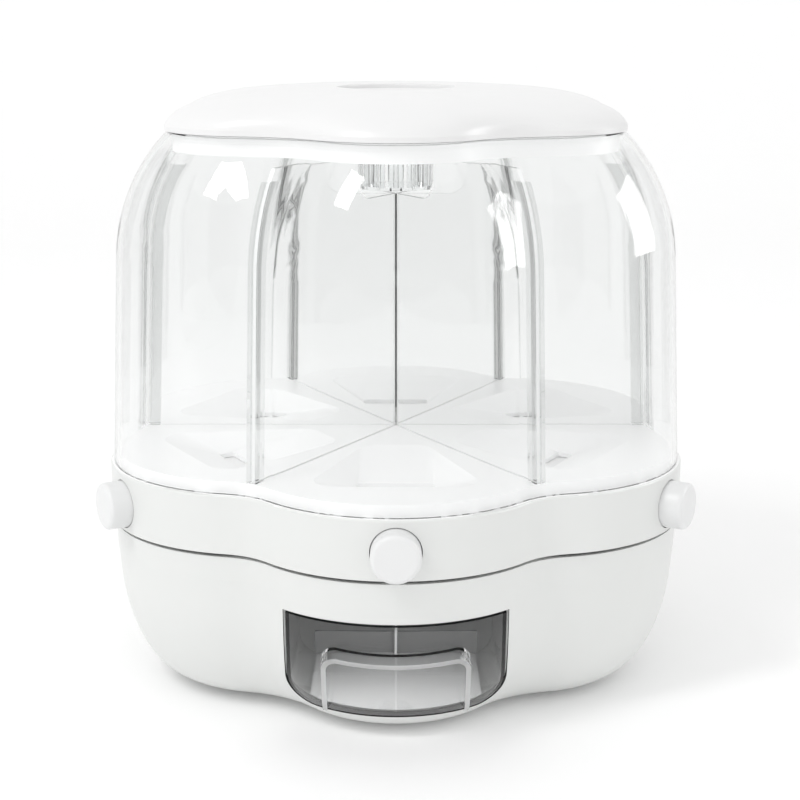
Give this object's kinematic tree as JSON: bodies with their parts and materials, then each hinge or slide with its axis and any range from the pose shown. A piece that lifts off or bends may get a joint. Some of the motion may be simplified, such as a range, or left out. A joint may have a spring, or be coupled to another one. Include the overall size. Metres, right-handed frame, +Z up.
{
  "type": "rotating grain dispenser",
  "caption": "Countertop grain keeper: a clear lobed bin with dividers turns on a white base, and push-button gates drop grain into a pull-out drawer.",
  "frame": {"origin": "centre of the base's footprint, on the surface that it stands on", "axes": "+Z up, the axis that the bin turns on; the drawer pulls out along -Y"},
  "size_m": [0.3002, 0.335, 0.3015],
  "materials": {
    "white_shell": "smooth white moulded plastic",
    "white_floor": "smooth white moulded plastic",
    "white_lid": "smooth white moulded plastic",
    "white_button": "smooth white moulded plastic",
    "white_inner": "plain moulded plastic",
    "cage_plastic": "plain moulded plastic",
    "clear_dome": "clear moulded plastic",
    "clear_divider": "clear moulded plastic",
    "clear_cup": "clear moulded plastic",
    "clear_drawer": "clear moulded plastic",
    "foot_rubber": "soft matt rubber",
    "seal_silicone": "translucent silicone",
    "steel": "bright steel"
  },
  "bodies": {
    "base": {"base_shell": "white_shell", "base_deck": "white_inner", "grain_chute": "white_inner", "drawer_bed": "white_inner", "spindle": "steel", "spindle_clip": "steel", "feet": "foot_rubber", "deck_screws": "steel"},
    "ball_ring": {"ball_cage": "cage_plastic", "bearing_balls": "steel"},
    "bin": {"bin_floor": "white_floor", "collar": "white_shell", "gate_carrier": "white_inner", "dome": "clear_dome", "divider_channels": "clear_divider", "dividers": "clear_divider", "carrier_screws": "steel", "spring_1": "steel", "spring_2": "steel", "spring_3": "steel", "spring_4": "steel", "spring_5": "steel", "spring_6": "steel"},
    "lid": {"lid_shell": "white_lid", "lid_liner": "white_floor", "lid_seal": "seal_silicone"},
    "desiccant": {"desiccant_cup": "clear_cup", "desiccant_cap": "white_inner"},
    "drawer": {"drawer": "clear_drawer"},
    "button_1": {"button_1": "white_button", "gate_1": "white_inner"},
    "button_2": {"button_2": "white_button", "gate_2": "white_inner"},
    "button_3": {"button_3": "white_button", "gate_3": "white_inner"},
    "button_4": {"button_4": "white_button", "gate_4": "white_inner"},
    "button_5": {"button_5": "white_button", "gate_5": "white_inner"},
    "button_6": {"button_6": "white_button", "gate_6": "white_inner"}
  },
  "joints": [
    {"name": "bin_turn", "type": "hinge", "parent": "base", "child": "bin", "pos_m": [0, 0, 0.0825], "axis": [0, 0, 1], "continuous": true},
    {"name": "ball_ring_turn", "type": "hinge", "parent": "base", "child": "ball_ring", "pos_m": [0, 0, 0.0825], "axis": [0, 0, 1], "continuous": true},
    {"name": "drawer_pull", "type": "slide", "parent": "base", "child": "drawer", "axis": [0, -1, 0], "range_m": [0, 0.075]},
    {"name": "lid_lift", "type": "slide", "parent": "bin", "child": "lid", "axis": [0, 0, 1], "range_m": [0, 0.12]},
    {"name": "desiccant_twist", "type": "hinge", "parent": "lid", "child": "desiccant", "pos_m": [0, 0, 0.27], "axis": [0, 0, 1], "range_deg": [0, 90]},
    {"name": "button_1_press", "type": "slide", "parent": "bin", "child": "button_1", "axis": [-0.866, -0.5, 0], "range_m": [0, 0.0105], "stiffness_N_per_m": 300, "springref_m": -0.01, "deforming": ["spring_1"]},
    {"name": "button_2_press", "type": "slide", "parent": "bin", "child": "button_2", "axis": [0, -1, 0], "range_m": [0, 0.0105], "stiffness_N_per_m": 300, "springref_m": -0.01, "deforming": ["spring_2"]},
    {"name": "button_3_press", "type": "slide", "parent": "bin", "child": "button_3", "axis": [0.866, -0.5, 0], "range_m": [0, 0.0105], "stiffness_N_per_m": 300, "springref_m": -0.01, "deforming": ["spring_3"]},
    {"name": "button_4_press", "type": "slide", "parent": "bin", "child": "button_4", "axis": [0.866, 0.5, 0], "range_m": [0, 0.0105], "stiffness_N_per_m": 300, "springref_m": -0.01, "deforming": ["spring_4"]},
    {"name": "button_5_press", "type": "slide", "parent": "bin", "child": "button_5", "axis": [0, 1, 0], "range_m": [0, 0.0105], "stiffness_N_per_m": 300, "springref_m": -0.01, "deforming": ["spring_5"]},
    {"name": "button_6_press", "type": "slide", "parent": "bin", "child": "button_6", "axis": [-0.866, 0.5, 0], "range_m": [0, 0.0105], "stiffness_N_per_m": 300, "springref_m": -0.01, "deforming": ["spring_6"]}
  ],
  "couplings": [
    {"joint": "ball_ring_turn", "follows": "bin_turn", "ratio": 0.5}
  ]
}
